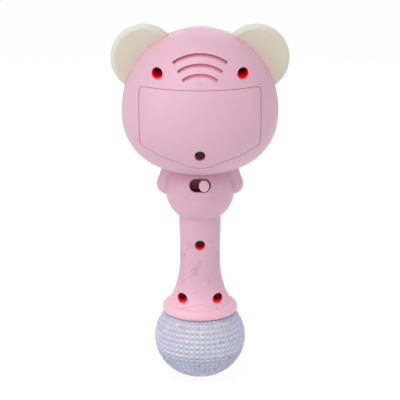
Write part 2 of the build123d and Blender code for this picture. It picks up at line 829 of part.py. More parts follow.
save("battery_lead_black", lead([
    (-tab_x, tab_tip, low_z),
    (-tab_x, 4.0, low_z),
    (-16.0, 3.0, 142.0),
    (-7.4, board_middle - 1, 135.5),
    (-6.6, board_middle, 132.0),
    (-6.6, board_middle, board_top),
]))

# ---------------------------------------------------------------- finish the shells
back -= back_cavity
back -= bay_mouth & cover_seat
for cut in [cover_opening, cover_post_cut, switch_cut] + slot_cuts + well_cuts + openings:
    back -= cut
save("back_shell", back)

for stay in board_posts + [guide]:
    front_cavity -= stay
front -= front_cavity
for cut in [button_cut] + face_cuts + pilot_cuts + openings:
    front -= cut
save("front_shell", front)
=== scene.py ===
# %% [markdown]
# # A bear-headed toy microphone
# The toy is two pink moulded shells screwed together, with cream ears, a clear faceted ball at
# the low end and a battery cover on its back. The packed CAD model is the frame: its shells,
# screws and inner parts stay as they are and get their finishes here. What is finer than a
# mould tool's main cut is added here: raised music notes, mould marks, the ball's facets, and
# the printed face. Every length below is in millimetres and becomes metres through `mm`.

# %% Load the frame
import bmesh
import bpy
import random
from math import asin, cos, radians, sin
from mathutils import Matrix, Vector
from mathutils.bvhtree import BVHTree


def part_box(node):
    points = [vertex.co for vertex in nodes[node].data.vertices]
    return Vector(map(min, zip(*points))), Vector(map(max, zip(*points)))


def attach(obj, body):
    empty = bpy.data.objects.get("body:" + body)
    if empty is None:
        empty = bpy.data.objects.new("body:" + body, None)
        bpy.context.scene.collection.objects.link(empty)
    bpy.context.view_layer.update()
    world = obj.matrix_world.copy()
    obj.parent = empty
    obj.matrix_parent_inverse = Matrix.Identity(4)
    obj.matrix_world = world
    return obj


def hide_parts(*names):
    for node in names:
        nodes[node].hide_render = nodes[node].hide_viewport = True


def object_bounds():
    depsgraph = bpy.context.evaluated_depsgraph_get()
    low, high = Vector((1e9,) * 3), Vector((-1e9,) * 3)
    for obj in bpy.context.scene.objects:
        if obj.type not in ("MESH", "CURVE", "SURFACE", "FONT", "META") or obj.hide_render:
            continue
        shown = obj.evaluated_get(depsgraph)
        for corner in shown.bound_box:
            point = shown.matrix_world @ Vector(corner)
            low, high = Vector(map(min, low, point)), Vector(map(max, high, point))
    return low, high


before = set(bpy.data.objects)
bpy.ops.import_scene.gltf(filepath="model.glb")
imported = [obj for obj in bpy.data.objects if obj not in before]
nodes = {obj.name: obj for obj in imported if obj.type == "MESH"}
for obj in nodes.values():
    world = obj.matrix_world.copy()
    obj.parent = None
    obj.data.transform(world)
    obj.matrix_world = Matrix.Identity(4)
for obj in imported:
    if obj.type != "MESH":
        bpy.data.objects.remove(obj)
cad_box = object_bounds()
mm = 0.001
print("frame:", len(nodes), "nodes, height", round((cad_box[1].z - cad_box[0].z) / mm, 1), "mm")

# %% Places that the later cells use
origin_height = 76.5  # the frame's origin above the table
shell_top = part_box("back_shell")[1].z / mm
head_middle = 161.0 - origin_height
head_size = Vector((44.4, 44.4, 46.6))  # half width, half depth and height above the middle
head_drop = 36.0  # height below the middle
torso_middle = 114.7 - origin_height
torso_radius = 19.8
print("head from", round(head_middle - head_drop, 1), "to", round(shell_top, 1), "mm")

# %% [markdown]
# ## Studio
# A small glossy toy is usually lit on a white sweep by large soft boxes, so that it has no
# hard shadow. One big box above and in front is the main light, two weaker ones stand at the
# sides, and the world fills the rest. The table glows a little, as a lit acrylic table does,
# which keeps the contact shadow faint.

# %% Camera
def aim(thing, place, target):
    """Stands a camera or a lamp at a place, looking at the target."""
    thing.location = place
    thing.rotation_euler = (target - place).to_track_quat("-Z", "Y").to_euler()


camera_target = Vector((0, 0, 31.2)) * mm
camera_distance = 756 * mm
camera_elevation = radians(15)
lens_length = 117.8
sensor_width = 36
camera = bpy.data.objects.new("studio_camera", bpy.data.cameras.new("studio_camera"))
bpy.context.collection.objects.link(camera)
camera.data.sensor_width = sensor_width
camera.data.lens = lens_length
camera.data.clip_start = 20 * mm
toward_camera = Vector((0, cos(camera_elevation), sin(camera_elevation)))
aim(camera, camera_target + toward_camera * camera_distance, camera_target)
bpy.context.scene.camera = camera
print("camera", [round(c / mm, 1) for c in camera.location], "mm")


# %% Lamps and world
def soft_box(name, place, size, power, colour):
    """A square area lamp that looks at the toy. Place and size are in metres, power in watts."""
    lamp = bpy.data.lights.new(name, "AREA")
    lamp.shape = "SQUARE"
    lamp.size = size
    lamp.energy = power
    lamp.color = colour
    stand = bpy.data.objects.new(name, lamp)
    bpy.context.collection.objects.link(stand)
    aim(stand, Vector(place), camera_target)


soft_box("top_box", (0.25, 0.5, 0.9), 0.8, 6.2, (1.0, 0.985, 0.96))
soft_box("left_box", (0.85, 0.55, 0.25), 0.6, 2.1, (0.98, 0.98, 1.0))
soft_box("right_box", (-0.85, 0.55, 0.25), 0.6, 1.0, (0.98, 0.98, 1.0))
soft_box("back_box", (0.0, -0.9, 0.6), 0.8, 2.4, (1.0, 1.0, 1.0))
world = bpy.data.worlds.new("studio")
world.use_nodes = True
sky = world.node_tree.nodes["Background"]
sky.inputs["Color"].default_value = (0.93, 0.94, 1.0, 1)
sky.inputs["Strength"].default_value = 0.62
bpy.context.scene.world = world
bpy.context.scene.view_settings.view_transform = "Standard"

# %% [markdown]
# ## Finishes
# Every finish is a Principled shader with procedural colour, roughness and fine relief, so it
# needs no picture files and works at any size. The patterns read Object coordinates, because
# every piece keeps its origin at the frame's origin: a pattern then runs on from one moulding
# to the next, as the tint of one batch of plastic does.

# %% Node helpers
class Finish:
    """A material being built: its tree, its shader and its Object coordinates."""

    def __init__(self, name):
        self.material = bpy.data.materials.new(name)
        self.material.use_nodes = True
        self.tree = self.material.node_tree
        self.shader = self.tree.nodes["Principled BSDF"]
        self.place = self.add("ShaderNodeTexCoord").outputs["Object"]

    def add(self, kind, **settings):
        node = self.tree.nodes.new(kind)
        for key, value in settings.items():
            setattr(node, key, value)
        return node

    def plug(self, value, socket):
        """Links a socket to a socket, or sets a plain value on it."""
        if isinstance(value, bpy.types.NodeSocket):
            self.tree.links.new(value, socket)
        else:
            socket.default_value = value

    def set(self, **values):
        """Sets the shader's own sockets. An underscore stands for a space in a socket's name."""
        for key, value in values.items():
            self.plug(value, self.shader.inputs[key.replace("_", " ")])

    def math(self, operation, first, second=0.0):
        node = self.add("ShaderNodeMath", operation=operation)
        self.plug(first, node.inputs[0])
        self.plug(second, node.inputs[1])
        return node.outputs[0]

    def axes(self):
        """The point's X, Y and Z on the object, in metres."""
        node = self.add("ShaderNodeSeparateXYZ")
        self.plug(self.place, node.inputs[0])
        return node.outputs

    def noise(self, scale, detail=3.0, roughness=0.5):
        node = self.add("ShaderNodeTexNoise")
        self.plug(self.place, node.inputs["Vector"])
        node.inputs["Scale"].default_value = scale
        node.inputs["Detail"].default_value = detail
        node.inputs["Roughness"].default_value = roughness
        return node.outputs["Fac"]

    def span(self, value, low, high, to_low=0.0, to_high=1.0):
        """Runs smoothly from one level to the other while the value goes from low to high."""
        node = self.add("ShaderNodeMapRange", interpolation_type="SMOOTHSTEP")
        for socket, number in zip(node.inputs, (value, low, high, to_low, to_high)):
            self.plug(number, socket)
        return node.outputs[0]

    def mix(self, share, first, second):
        """One colour turning into another as the share goes from 0 to 1."""
        node = self.add("ShaderNodeMix", data_type="RGBA")
        self.plug(share, node.inputs["Factor"])
        self.plug(first, node.inputs[6])
        self.plug(second, node.inputs[7])
        return node.outputs[2]

    def relief(self, height, depth, strength=1.0, under=None):
        """Fine relief of a depth in metres, on top of another relief if one is given."""
        node = self.add("ShaderNodeBump")
        node.inputs["Strength"].default_value = strength
        node.inputs["Distance"].default_value = depth
        self.plug(height, node.inputs["Height"])
        if under:
            self.plug(under, node.inputs["Normal"])
        return node.outputs[0]


def around(value, spread=0.03):
    """Two colours a little darker and lighter than the given one."""
    return [(*(c * (1 + side * spread) for c in value), 1) for side in (-1, 1)]


print("helpers:", [name for name in vars(Finish) if not name.startswith("_")])

# %% [markdown]
# ### Pink shell plastic
# The shells are moulded in a tinted, slightly translucent plastic with a fine spark-eroded
# grain. Light that goes into a screw well or a sound slot bounces off pink walls many times, and
# each bounce takes out more green and blue, so the bottoms look deep red. A renderer cuts these
# bounces short, so this red is painted here as shade that follows the depth below the outer skin,
# worked out from the head's and the body's round shapes and from the axes of the wells, and a
# faint red glow in the wells is painted light for what the missing bounces would bring.

# %% Depth below the skin
def round_depth(finish, middle, size, drop=None):
    """How deep a point lies in an oval about a middle height, in metres."""
    x, y, z = finish.axes()
    z = finish.math("SUBTRACT", z, middle * mm)
    up = finish.math("DIVIDE", finish.math("MAXIMUM", z, 0.0), size[2] * mm)
    down = finish.math("DIVIDE", finish.math("MINIMUM", z, 0.0), (drop or size[2]) * mm)
    parts = finish.add("ShaderNodeCombineXYZ")
    finish.plug(finish.math("DIVIDE", x, size[0] * mm), parts.inputs[0])
    finish.plug(finish.math("DIVIDE", y, size[1] * mm), parts.inputs[1])
    finish.plug(finish.math("ADD", up, down), parts.inputs[2])
    reach = finish.add("ShaderNodeVectorMath", operation="LENGTH")
    finish.plug(parts.outputs[0], reach.inputs[0])
    share = finish.math("SUBTRACT", 1.0, reach.outputs["Value"])
    return finish.math("MULTIPLY", share, size[0] * mm)


def well_depth(finish, x_at, z_at, radius, mouth):
    """How deep a point lies in a well along Y, in metres, and 0 outside the well."""
    x, y, z = finish.axes()
    across = finish.math("POWER", finish.math("SUBTRACT", x, x_at * mm), 2.0)
    along = finish.math("POWER", finish.math("SUBTRACT", z, z_at * mm), 2.0)
    inside = finish.math("LESS_THAN", finish.math("ADD", across, along), (radius * mm) ** 2)
    behind = finish.math("GREATER_THAN", y, 0.0)
    deep = finish.math("SUBTRACT", mouth * mm, y)
    return finish.math("MULTIPLY", deep, finish.math("MULTIPLY", inside, behind))


def node_middle(name):
    low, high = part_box(name)
    return (low + high) / 2 / mm


screw_head_radius = 2.45
head_well = node_middle("head_screws")
head_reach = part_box("head_screws")[1].x / mm - screw_head_radius
handle_well = node_middle("handle_screw")
flange_well = node_middle("flange_screws")
flange_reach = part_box("flange_screws")[1].x / mm - screw_head_radius
cover_well = node_middle("cover_screw")
# Each well: x and z of its axis, its radius, and how far out its mouth lies.
screw_wells = [
    (head_reach, head_well.z, 3.25, 29.5),
    (-head_reach, head_well.z, 3.25, 29.5),
    (handle_well.x, handle_well.z, 3.25, 11.4),
    (flange_reach, flange_well.z, 3.0, 14.2),
    (-flange_reach, flange_well.z, 3.0, 14.2),
    (cover_well.x, cover_well.z, 3.3, 36.8),
]
print("wells at heights", [round(well[1], 1) for well in screw_wells])


# %% Pink finish
# Painted light: a paler pink for the thin flange, where light passes through it.
painted_lip_light = (0.86, 0.50, 0.60, 1)
# Painted shade: a redder pink for slot and groove walls, as bounced light makes them.
painted_slot_shade = (0.76, 0.30, 0.38, 1)
# Painted shade and painted light: the wells' deep red, and the red glow in them.
painted_well_shade = (0.8, 0.004, 0.03, 1)
painted_well_glow = (0.8, 0.0, 0.02, 1)
mould_grain, mould_grain_depth = 4200, 0.012 * mm


def pink_plastic(name, skin=(0.625, 0.378, 0.462), translucent=0.2):
    """Pink skin, painted light on the flange, painted shade in slots, red shade and glow in wells."""
    finish = Finish(name)
    head = round_depth(finish, head_middle, head_size, head_drop)
    body = round_depth(finish, torso_middle, (torso_radius,) * 3)
    slot = finish.math("MAXIMUM", head, body)
    # Painted shade: walls about 0.4 to 3 mm below the skin, in the slots and the cover's groove, turn
    # redder.
    slot_shade_share = finish.span(slot, 0.4 * mm, 1.7 * mm)
    slot_shade_share = finish.math("MULTIPLY", slot_shade_share, finish.span(slot, 2.6 * mm, 3.0 * mm, 1, 0))
    well = 0.0
    for x_at, z_at, radius, mouth in screw_wells:
        well = finish.math("MAXIMUM", well, well_depth(finish, x_at, z_at, radius, mouth))
    cloud = finish.noise(38, 2)
    dark, light = around(skin, 0.022)
    outer = finish.mix(cloud, dark, light)
    # Painted light: the thin flange at the handle's foot is paler, as light passes through it.
    lip_light_share = finish.span(finish.axes()["Z"], -12 * mm, -36 * mm)
    outer = finish.mix(finish.math("MULTIPLY", lip_light_share, 0.75), outer, painted_lip_light)
    colour = finish.mix(slot_shade_share, outer, painted_slot_shade)
    # Painted shade: deep red in the screw wells, from 0.8 mm below their mouths.
    colour = finish.mix(finish.span(well, 0.8 * mm, 4.5 * mm), colour, painted_well_shade)
    finish.set(Base_Color=colour, Subsurface_Weight=translucent, Subsurface_Scale=2.2 * mm)
    finish.shader.inputs["Subsurface Radius"].default_value = (1.0, 0.42, 0.45)
    # Painted light: a faint red glow in the wells, fading with depth, though nothing there is a lamp.
    lit = finish.span(well, 0.8 * mm, 3.5 * mm)
    lit = finish.math("MULTIPLY", lit, finish.span(well, 3 * mm, 22 * mm, 0.30, 0.05))
    finish.set(Emission_Color=painted_well_glow, Emission_Strength=lit)
    grain = finish.noise(mould_grain, 2)
    flow = finish.noise(95, 3)
    finish.set(Roughness=finish.span(flow, 0.3, 0.7, 0.44, 0.54), IOR=1.49)
    soft = finish.relief(flow, 0.05 * mm, 0.6)
    finish.set(Normal=finish.relief(grain, mould_grain_depth, 0.5, soft))
    return finish.material


def knob_plastic(name):
    """The slide's knob: pink on top, and painted dark red shade on the plate deep in the slot."""
    finish = Finish(name)
    top = finish.span(finish.axes()["Y"], 12.2 * mm, 17.5 * mm)
    cloud = finish.noise(160, 3)
    skin = finish.mix(cloud, (0.69, 0.44, 0.53, 1), (0.73, 0.48, 0.57, 1))
    # Painted shade: the plate that lies deep in the slot is dark red.
    painted_plate_shade = (0.42, 0.03, 0.07, 1)
    finish.set(Base_Color=finish.mix(top, painted_plate_shade, skin), IOR=1.49)
    finish.set(Roughness=finish.span(cloud, 0.3, 0.7, 0.38, 0.5))
    finish.set(Subsurface_Weight=0.15, Subsurface_Scale=1 * mm)
    finish.set(Normal=finish.relief(finish.noise(mould_grain, 2), mould_grain_depth, 0.5))
    return finish.material


# %% [markdown]
# ### Cream ears
# The ears are thick solid mouldings of a milky, faintly green plastic that glows after light.
# The paler rim is painted light, where light enters the edge, and the pinker cream beside the
# head is a painted reflection of the pink head, so the colour follows the distance from the
# ear's edge and from the head.

# %% Ear finish
ear_radius = 18.85
ear_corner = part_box("ear_left")[1] / mm
ear_middle = Vector((ear_corner.x - ear_radius, 0, ear_corner.z - ear_radius))
print("ear middle", [round(c, 1) for c in ear_middle], "mm")


def ear_plastic(name):
    """Milky cream, with painted light at the edge and a painted pink reflection by the head."""
    finish = Finish(name)
    x, _, z = finish.axes()
    across = finish.math("SUBTRACT", finish.math("ABSOLUTE", x), ear_middle.x * mm)
    along = finish.math("SUBTRACT", z, ear_middle.z * mm)
    across_square = finish.math("POWER", across, 2.0)
    along_square = finish.math("POWER", along, 2.0)
    reach = finish.math("SQRT", finish.math("ADD", across_square, along_square))
    # Painted light: the ear's edge is paler and greener, where light enters it.
    rim_light_share = finish.span(reach, (ear_radius - 2.6) * mm, (ear_radius - 0.5) * mm)
    depth = round_depth(finish, head_middle, head_size, head_drop)
    # Painted reflection: cream near the head turns pink, as the head's colour bounces onto it.
    head_reflection_share = finish.span(depth, -5.5 * mm, 0.2 * mm)
    cloud = finish.noise(60, 3)
    colour = finish.mix(cloud, (0.565, 0.525, 0.43, 1), (0.595, 0.555, 0.46, 1))
    colour = finish.mix(rim_light_share, colour, (0.565, 0.575, 0.505, 1))
    colour = finish.mix(finish.math("MULTIPLY", head_reflection_share, 0.55), colour, (0.68, 0.48, 0.42, 1))
    finish.set(Base_Color=colour, Subsurface_Weight=0.45, Subsurface_Scale=3 * mm)
    finish.shader.inputs["Subsurface Radius"].default_value = (1.0, 0.9, 0.6)
    finish.set(Roughness=finish.span(finish.noise(120, 3), 0.3, 0.7, 0.38, 0.5), IOR=1.5)
    finish.set(Normal=finish.relief(finish.noise(3600, 2), 0.01 * mm, 0.5))
    return finish.material


# %% [markdown]
# ### Clear faceted ball
# The ball is clear plastic with a rainbow coating: most facets look pale lavender, some flash
# teal, rose or orange. A share of the facets gets such a tint through the mesh's own colour
# attribute, and a thin film on the shader bends the hue with the angle. The attribute also holds
# painted light and shade: facets that lean up are lighter, and the low part is darker.

# %% Ball finish
film_thickness = 430  # nanometres
film_density = 1.33
print("film on the ball", film_thickness, "nm")


def ball_plastic(name):
    finish = Finish(name)
    tint = finish.add("ShaderNodeAttribute", attribute_name="facet_tint_and_light").outputs["Color"]
    finish.set(Base_Color=tint, Roughness=0.12, IOR=1.58, Transmission_Weight=0.16)
    finish.set(Thin_Film_Thickness=film_thickness, Thin_Film_IOR=film_density)
    finish.set(Normal=finish.relief(finish.noise(700, 2), 0.04 * mm, 0.4))
    return finish.material


# %% [markdown]
# ### Metals, board and small parts
# Inside are ordinary parts: blackened screws, nickel-plated battery contacts, jacketed cells, a
# green board, a paper speaker cone. Each has one short recipe with the grain that such a part
# shows: turned lines on a screw, fibre in paper, a wrap's seam and metal ends on a cell.

# %% Small finishes
def grained(name, colour, rough, spread=0.06, scale=300, metallic=0.0, depth=0.02 * mm, coat=0.0):
    """A plain moulded, painted or rolled surface: clouded colour, uneven gloss and fine grain."""
    finish = Finish(name)
    dark, light = around(colour, spread)
    cloud = finish.noise(scale, 4, 0.6)
    finish.set(Base_Color=finish.mix(cloud, dark, light), Metallic=metallic, Coat_Weight=coat)
    finish.set(Roughness=finish.span(cloud, 0.25, 0.75, rough * 0.85, min(1.0, rough * 1.2)))
    finish.set(Normal=finish.relief(finish.noise(scale * 9, 2), depth, 0.5))
    return finish.material


def cell_jacket(name):
    """A blue and grey wrap on each cell, with bare metal at both ends."""
    finish = Finish(name)
    x = finish.axes()["X"]
    end = finish.span(finish.math("ABSOLUTE", x), 21.0 * mm, 21.3 * mm)
    band = finish.span(x, 9.0 * mm, 9.4 * mm)
    cloud = finish.noise(420, 3)
    wrap_blue, wrap_grey = (0.035, 0.13, 0.34, 1), (0.55, 0.56, 0.6, 1)
    bare_metal = (0.62, 0.62, 0.6, 1)
    wrap = finish.mix(band, wrap_blue, wrap_grey)
    wrap = finish.mix(finish.math("MULTIPLY", cloud, 0.2), wrap, (0.2, 0.3, 0.5, 1))
    finish.set(Base_Color=finish.mix(end, wrap, bare_metal), Metallic=end)
    finish.set(Roughness=finish.span(cloud, 0.3, 0.7, 0.2, 0.34), Coat_Weight=0.3)
    finish.set(Normal=finish.relief(cloud, 0.03 * mm, 0.4))
    return finish.material


def board_green(name):
    """Green lacquer with paler copper tracks under it."""
    finish = Finish(name)
    x, _, z = finish.axes()
    track = finish.add("ShaderNodeTexBrick", offset=0.37, squash=1.6)
    turned = finish.add("ShaderNodeCombineXYZ")
    finish.plug(x, turned.inputs[0])
    finish.plug(z, turned.inputs[1])
    finish.plug(turned.outputs[0], track.inputs["Vector"])
    track.inputs["Scale"].default_value = 420
    track.inputs["Mortar Size"].default_value = 0.06
    lines = finish.math("SUBTRACT", 1.0, track.outputs["Fac"])
    colour = finish.mix(lines, (0.06, 0.22, 0.10, 1), (0.015, 0.12, 0.05, 1))
    finish.set(Base_Color=colour, Roughness=0.35, Coat_Weight=0.5)
    finish.set(Normal=finish.relief(track.outputs["Fac"], 0.03 * mm, 0.6))
    return finish.material


# %% [markdown]
# ### Every finish by its name
# Each kept part says in its material's name which finish it wants, so one table of finishes
# dresses all of them. The finish is linked to the object and not to the mesh, because the kept
# part's own mesh is left as it came.

# %% Table of finishes
finishes = {
    "pink_shell": pink_plastic("pink_shell_plastic"),
    "knob": knob_plastic("pink_knob_plastic"),
    "pink_relief": pink_plastic("pink_relief_plastic", (0.66, 0.405, 0.487), 0.0),
    "cream_ear": ear_plastic("cream_ear_plastic"),
    "clear_ball": ball_plastic("clear_ball_plastic"),
    "steel_screw": grained("blackened_steel", (0.045, 0.04, 0.042), 0.36, 0.3, 900, 0.9),
    "contact": grained("plated_contact", (0.62, 0.6, 0.55), 0.28, 0.06, 700, 1.0),
    "cell_jacket": cell_jacket("cell_wrap"),
    "board": board_green("board_green"),
    "black_part": grained("black_epoxy", (0.012, 0.012, 0.013), 0.32, 0.3, 260),
    "white_part": grained("white_nylon", (0.78, 0.77, 0.74), 0.42, 0.03, 240),
    "cream_part": grained("cream_muzzle_plastic", (0.78, 0.68, 0.55), 0.42, 0.03, 180),
    "dark_part": grained("dark_eye_plastic", (0.012, 0.009, 0.008), 0.14, 0.2, 200, coat=1.0,
                         depth=0.004 * mm),
    "speaker_steel": grained("speaker_steel", (0.38, 0.38, 0.37), 0.34, 0.08, 500, 1.0),
    "paper_cone": grained("paper_cone", (0.055, 0.05, 0.045), 0.9, 0.35, 900, depth=0.08 * mm),
    "gasket": grained("foam_gasket", (0.03, 0.03, 0.03), 0.95, 0.4, 1600, depth=0.1 * mm),
    "red_lead": grained("red_lead", (0.55, 0.02, 0.015), 0.4, 0.1, 600),
    "black_lead": grained("black_lead", (0.015, 0.015, 0.016), 0.4, 0.2, 600),
    "led": grained("led_epoxy", (0.85, 0.85, 0.88), 0.08, 0.03, 200, coat=1.0),
}

# %% Dress the kept parts
for name, node in nodes.items():
    slot = node.data.materials[0].name.split(".")[0]
    for index in range(len(node.data.materials)):
        node.material_slots[index].link = "OBJECT"
        node.material_slots[index].material = finishes[slot]
print("finished", len(nodes), "kept parts with", len(finishes), "finishes")

# %% [markdown]
# ## The faceted ball
# The real ball is moulded in two half shells, with rows of small square pyramids cut into the
# tool. A sphere by latitude and longitude already has those rows. Poking each face lifts its
# middle into a pyramid, and a second, smooth sphere inside gives the wall. The pyramids' bases
# lie below the CAD ball's skin, so that their tips only reach it.

# %% Ball helpers
near = 1e-7  # metres within which a point counts as on the cut


def cut_level(bm, geometry, height, upward):
    """Cuts the given geometry at a height and keeps its upper or lower part."""
    return bmesh.ops.bisect_plane(
        bm, geom=geometry, dist=near, plane_co=(0, 0, height * mm), plane_no=(0, 0, 1),
        clear_inner=upward, clear_outer=not upward,
    )


def keep_half(bm, height, upward):
    cut_level(bm, bm.verts[:] + bm.edges[:] + bm.faces[:], height, upward)


def new_piece(name, bm, material, body):
    """Makes a bmesh an object at the origin that rides a body of the frame."""
    mesh = bpy.data.meshes.new(name)
    bm.to_mesh(mesh)
    bm.free()
    piece = bpy.data.objects.new(name, mesh)
    bpy.context.collection.objects.link(piece)
    mesh.materials.append(material)
    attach(piece, body)
    return piece


ball_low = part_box("ball_bowl")[0]
ball_radius = -ball_low.x / mm
ball_half = 24.9
ball_middle = ball_low.z / mm + ball_half
ball_wall = 1.8
facet_columns, facet_rows = 52, 26
facet_rise = 0.78  # how far the pyramids' bases lie below the ball's skin
facet_slope = 0.33  # a pyramid's height as a share of its base
neck_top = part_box("ball_cap")[1].z / mm
print("ball middle", round(ball_middle, 2), "radius", round(ball_radius, 2), "mm")


def oval(bm, shrink):
    """The ball's own oval, smaller by the given amount all round."""
    made = bmesh.ops.create_uvsphere(bm, u_segments=facet_columns, v_segments=facet_rows, radius=1)
    scale = Matrix.Diagonal((ball_radius - shrink, ball_radius - shrink, ball_half - shrink, 1))
    spot = Matrix.Translation((0, 0, ball_middle))
    bmesh.ops.transform(bm, matrix=Matrix.Scale(mm, 4) @ spot @ scale, verts=made["verts"])


def rim_edges(bm, height):
    """The open edges that a cut at a height has left."""
    return [e for e in bm.edges
            if e.is_boundary and all(abs(v.co.z - height * mm) < 10 * near for v in e.verts)]


# %% Facet tints, with painted light and shade
lavender = (0.60, 0.565, 0.70)
teal, rose = (0.44, 0.66, 0.70), (0.74, 0.50, 0.57)
orange, violet = (0.74, 0.62, 0.52), (0.42, 0.40, 0.70)
flashes = (teal, rose, orange, violet)
brightest = 0.92
low_part = -5 * mm  # below this the ball is in its own shade
print("flashing tints:", len(flashes))


def facet_colour(pick, lean_for_painted_light, low):
    """Lavender with painted light where a facet leans up, painted shade low down, and rainbow flashes.
    """
    # Painted light and shade: facets that lean up are lighter, and facets on the low part darker.
    level = pick.uniform(0.92, 1.08) * (1 + 0.2 * lean_for_painted_light) * (0.84 if low else 1.0)
    tone = lavender
    if pick.random() < 0.04 + 0.07 * low:
        tone = pick.choice(flashes)
    return (*(min(brightest, part * level) for part in tone), 1)


def tint_facets(bm, seed):
    """Gives every facet its own tint, with painted light and shade, in the mesh's colour attribute."""
    pick = random.Random(seed)
    layer = bm.loops.layers.float_color.new("facet_tint_and_light")
    middle = Vector((0, 0, ball_middle * mm))
    for face in bm.faces:
        spot = face.calc_center_median() - middle
        lean_for_painted_light = (face.normal.z - spot.normalized().z) * 2.4
        colour = facet_colour(pick, max(-1, min(1, lean_for_painted_light)), spot.z < low_part)
        for loop in face.loops:
            loop[layer] = colour


# %% Ball halves
def clear_wall(bm, levels):
    """Adds the smooth inner wall, open at the same heights as the outer one."""
    outer = set(bm.verts[:] + bm.edges[:] + bm.faces[:])
    oval(bm, ball_wall)
    inner = [part for part in bm.verts[:] + bm.edges[:] + bm.faces[:] if part not in outer]
    for height, upward in levels:
        inner = [g for g in cut_level(bm, inner, height, upward)["geom"] if g.is_valid]
    inner_faces = [f for f in inner if isinstance(f, bmesh.types.BMFace)]
    bmesh.ops.reverse_faces(bm, faces=inner_faces)


def ball_half_piece(name, node, levels, seed):
    """A half shell of pyramids, cut at each level, where True keeps the part above it."""
    bm = bmesh.new()
    oval(bm, facet_rise)
    for height, upward in levels:
        keep_half(bm, height, upward)
    bmesh.ops.poke(bm, faces=bm.faces[:], offset=facet_slope, center_mode="MEAN_WEIGHTED",
                   use_relative_offset=True)
    clear_wall(bm, levels)
    for height, _ in levels:
        bmesh.ops.bridge_loops(bm, edges=rim_edges(bm, height))
    bmesh.ops.recalc_face_normals(bm, faces=bm.faces)
    tint_facets(bm, seed)
    open_edges = sum(not e.is_manifold for e in bm.edges)
    piece = new_piece(name, bm, finishes["clear_ball"], "housing")
    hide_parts(node)
    print(name, len(piece.data.polygons), "faces, open edges", open_edges)


ball_half_piece("ball_facets_low", "ball_bowl", [(ball_middle, False)], 11)
ball_half_piece("ball_facets_high", "ball_cap", [(ball_middle, True), (neck_top - 0.4, False)], 12)

# %% [markdown]
# ## Raised notes and mould marks
# The handle carries small music notes that stand a few tenths of a millimetre proud, so that it
# is easier to hold. They could be cut into the shell's own mesh with booleans, but a booleaned
# mesh shades badly on a curved wall. Instead each one is drawn flat from beads and strokes, and
# then laid on the shell: every point is moved along a ray until it meets the wall, and keeps its
# own height above it. The feet sink a little, so that no gap shows.

# %% Walls to lay shapes on
def wall_of(*names):
    """The walls of some kept parts, ready to be hit by rays."""
    bm = bmesh.new()
    for name in names:
        bm.from_mesh(nodes[name].data)
    tree = BVHTree.FromBMesh(bm)
    bm.free()
    return tree


shells = wall_of("back_shell", "front_shell")
foot_sink = 0.12  # how deep a note's foot goes into the handle
print("handle shapes sink by", foot_sink / 2, "mm")


# %% Beads and strokes
def bead(bm, x, z, wide, tall=None, high=0.62, turn=0.0):
    """A low dome: a flattened ball, half of it above the wall. Lengths are radii."""
    made = bmesh.ops.create_uvsphere(bm, u_segments=24, v_segments=12, radius=1)
    size = Matrix.Diagonal((wide, high, tall or wide, 1))
    spot = Matrix.Translation((x, 0, z)) @ Matrix.Rotation(radians(turn), 4, "Y")
    bmesh.ops.transform(bm, matrix=spot @ size, verts=made["verts"])


cap_weld = 0.004  # closes the rib's end caps
print("strokes are welded within", cap_weld, "mm")


def stroke(bm, points, width, high=0.55, closed=False):
    """A rounded rib that follows a smooth line through the points, drawn in x and z."""
    line = bpy.data.curves.new("stroke", "CURVE")
    line.dimensions = "3D"
    line.bevel_depth = width / 2  # a round rib, which the scale below then flattens
    line.bevel_resolution = 3
    line.use_fill_caps = True
    run = line.splines.new("NURBS")
    run.points.add(len(points) - 1)
    for point, (x, z) in zip(run.points, points):
        point.co = (x, 0, z, 1)
    run.order_u = 3
    run.use_endpoint_u = not closed
    run.use_cyclic_u = closed
    run.resolution_u = 8
    holder = bpy.data.objects.new("stroke", line)
    mesh = bpy.data.meshes.new_from_object(holder)
    known = set(bm.verts)
    bm.from_mesh(mesh)
    fresh = [v for v in bm.verts if v not in known]
    bmesh.ops.scale(bm, vec=(1, high / (width / 2), 1), verts=fresh)
    bmesh.ops.remove_doubles(bm, verts=fresh, dist=cap_weld)
    bpy.data.objects.remove(holder)
    bpy.data.curves.remove(line)
    bpy.data.meshes.remove(mesh)


# %% Laying flat shapes down
ray_start = 100 * mm  # well outside the toy
handle_ray_start = 60 * mm


def lay_around(bm, x_at, z_at, front=1):
    """Wraps a flat shape round the handle, centred where its middle shows at x_at and z_at."""
    start = Vector((x_at * mm, front * ray_start, z_at * mm))
    hit = shells.ray_cast(start, Vector((0, -front, 0)))[0]
    reach = hold = Vector((hit.x, hit.y)).length
    middle = asin(x_at * mm / reach)
    for vert in bm.verts:
        angle = middle + vert.co.x * mm / reach
        out = Vector((sin(angle), front * cos(angle), 0))
        height = Vector((0, 0, (z_at + vert.co.z) * mm))
        met = shells.ray_cast(out * handle_ray_start + height, -out)[0]
        hold = Vector((met.x, met.y)).length if met else hold
        vert.co = out * (hold + (vert.co.y - foot_sink / 2) * mm) + height


def lay_flat(bm, tree, front=1, sink=0.08):
    """Moves a shape along Y until it lies on the wall."""
    for vert in bm.verts:
        start = Vector((vert.co.x * mm, front * ray_start, vert.co.z * mm))
        met = tree.ray_cast(start, Vector((0, -front, 0)))[0]
        vert.co = met + Vector((0, front * (vert.co.y - sink) * mm, 0))


def relief_piece(name, bm, body="housing", finish="pink_relief"):
    """Makes a laid shape a smooth piece of its own."""
    bmesh.ops.recalc_face_normals(bm, faces=bm.faces)
    for face in bm.faces:
        face.smooth = True
    new_piece(name, bm, finishes[finish], body)


print("rays start", round(ray_start / mm), "mm out, or", round(handle_ray_start / mm), "at the handle")

# %% [markdown]
# ### The notes' shapes
# A note is a bead with a stem, a pair of notes shares a beam, and a clef is a swirl with a tail.
# Each is drawn with its own middle at zero, so that one drawing serves at any place and size.

